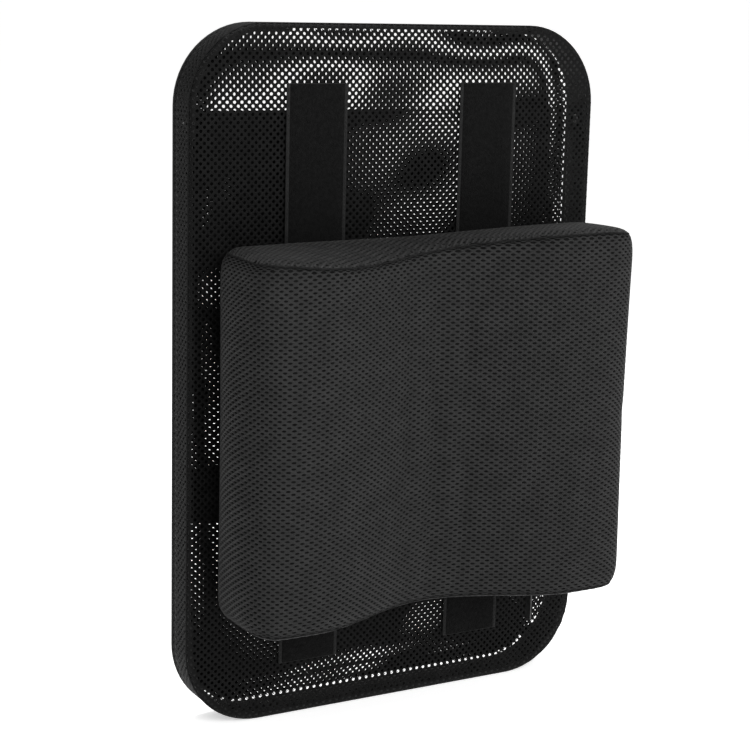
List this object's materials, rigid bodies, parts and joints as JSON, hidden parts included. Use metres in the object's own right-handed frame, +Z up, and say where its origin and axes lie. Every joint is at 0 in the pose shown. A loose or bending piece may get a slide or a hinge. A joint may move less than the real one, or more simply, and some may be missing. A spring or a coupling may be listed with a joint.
{
  "type": "lumbar support cushion",
  "caption": "Framed mesh back panel with hook-and-loop strips that carry a winged foam lumbar cushion at a chosen height, held to a chair back by an elastic buckle strap.",
  "frame": {"origin": "centre of the panel in the plane of its rear edge, which bears on the chair back", "axes": "+Z up along the panel, +Y back into the chair, so the cushion faces -Y, +X to the right as the front is looked at"},
  "size_m": [0.347, 0.1302, 0.525],
  "materials": {
    "mesh_knit": "warp-knitted polyester mesh with staggered round holes, black",
    "cover_knit": "charcoal-black air-mesh knit with small oval holes",
    "foam": "open-cell polyurethane foam",
    "loop_pile": "matte brushed loop pile with a woven selvage",
    "hook_tape": "nylon hook tape",
    "webbing": "ribbed elastic webbing and bound edge cord, black",
    "zip_tape": "herringbone zip tape",
    "zip_nylon": "nylon coil",
    "zip_metal": "black enamelled die-cast metal",
    "hoop_plastic": "matt black moulded strip",
    "buckle_plastic": "fine-textured black acetal",
    "rivet_steel": "plated steel rivet"
  },
  "bodies": {
    "panel": {"front_mesh": "mesh_knit", "side_mesh": "mesh_knit", "rear_mesh": "mesh_knit", "backing_mesh": "mesh_knit", "rear_piping": "webbing", "loop_strip_left": "loop_pile", "loop_strip_right": "loop_pile", "strap_anchor_left": "webbing", "strap_anchor_right": "webbing", "elastic_strap_left": "webbing", "elastic_strap_right": "webbing", "strap_return": "webbing", "buckle_socket": "buckle_plastic", "hoop_rail_top": "hoop_plastic", "hoop_rail_bottom": "hoop_plastic", "hoop_rail_left": "hoop_plastic", "hoop_rail_right": "hoop_plastic", "hoop_corner_top_right": "hoop_plastic", "hoop_rivet_top_right_end": "rivet_steel", "hoop_rivet_top_right_side": "rivet_steel", "hoop_corner_top_left": "hoop_plastic", "hoop_rivet_top_left_end": "rivet_steel", "hoop_rivet_top_left_side": "rivet_steel", "hoop_corner_bottom_left": "hoop_plastic", "hoop_rivet_bottom_left_end": "rivet_steel", "hoop_rivet_bottom_left_side": "rivet_steel", "hoop_corner_bottom_right": "hoop_plastic", "hoop_rivet_bottom_right_end": "rivet_steel", "hoop_rivet_bottom_right_side": "rivet_steel"},
    "cushion": {"cushion_cover": "cover_knit", "cover_back": "cover_knit", "foam_core": "foam", "hook_strip_left": "hook_tape", "hook_strip_right": "hook_tape", "zip_tape_front": "zip_tape", "zip_tape_rear": "zip_tape", "zip_coil": "zip_nylon", "zip_stop_top": "zip_metal", "zip_stop_bottom": "zip_metal"},
    "zip_slider": {"zip_slider": "zip_metal"},
    "zip_pull": {"zip_pull": "zip_metal"},
    "strap_slider": {"strap_slider": "buckle_plastic"},
    "buckle_plug": {"buckle_plug": "buckle_plastic"}
  },
  "joints": [
    {"name": "lumbar_height", "type": "slide", "parent": "panel", "child": "cushion", "axis": [0, 0, 1], "range_m": [-0.05, 0.09]},
    {"name": "zip_slide", "type": "slide", "parent": "cushion", "child": "zip_slider", "axis": [-1, 0, 0], "range_m": [0, 0.222]},
    {"name": "zip_pull_swing", "type": "hinge", "parent": "zip_slider", "child": "zip_pull", "pos_m": [0.117, -0.0542, -0.1791], "axis": [0, 1, 0], "range_deg": [-70, 70]},
    {"name": "strap_adjust", "type": "slide", "parent": "panel", "child": "strap_slider", "axis": [1, 0, 0], "range_m": [-0.036, 0.036], "deforming": ["strap_return"]},
    {"name": "buckle_release", "type": "slide", "parent": "panel", "child": "buckle_plug", "axis": [1, 0, 0], "range_m": [0, 0.03], "deforming": ["elastic_strap_right"]}
  ]
}
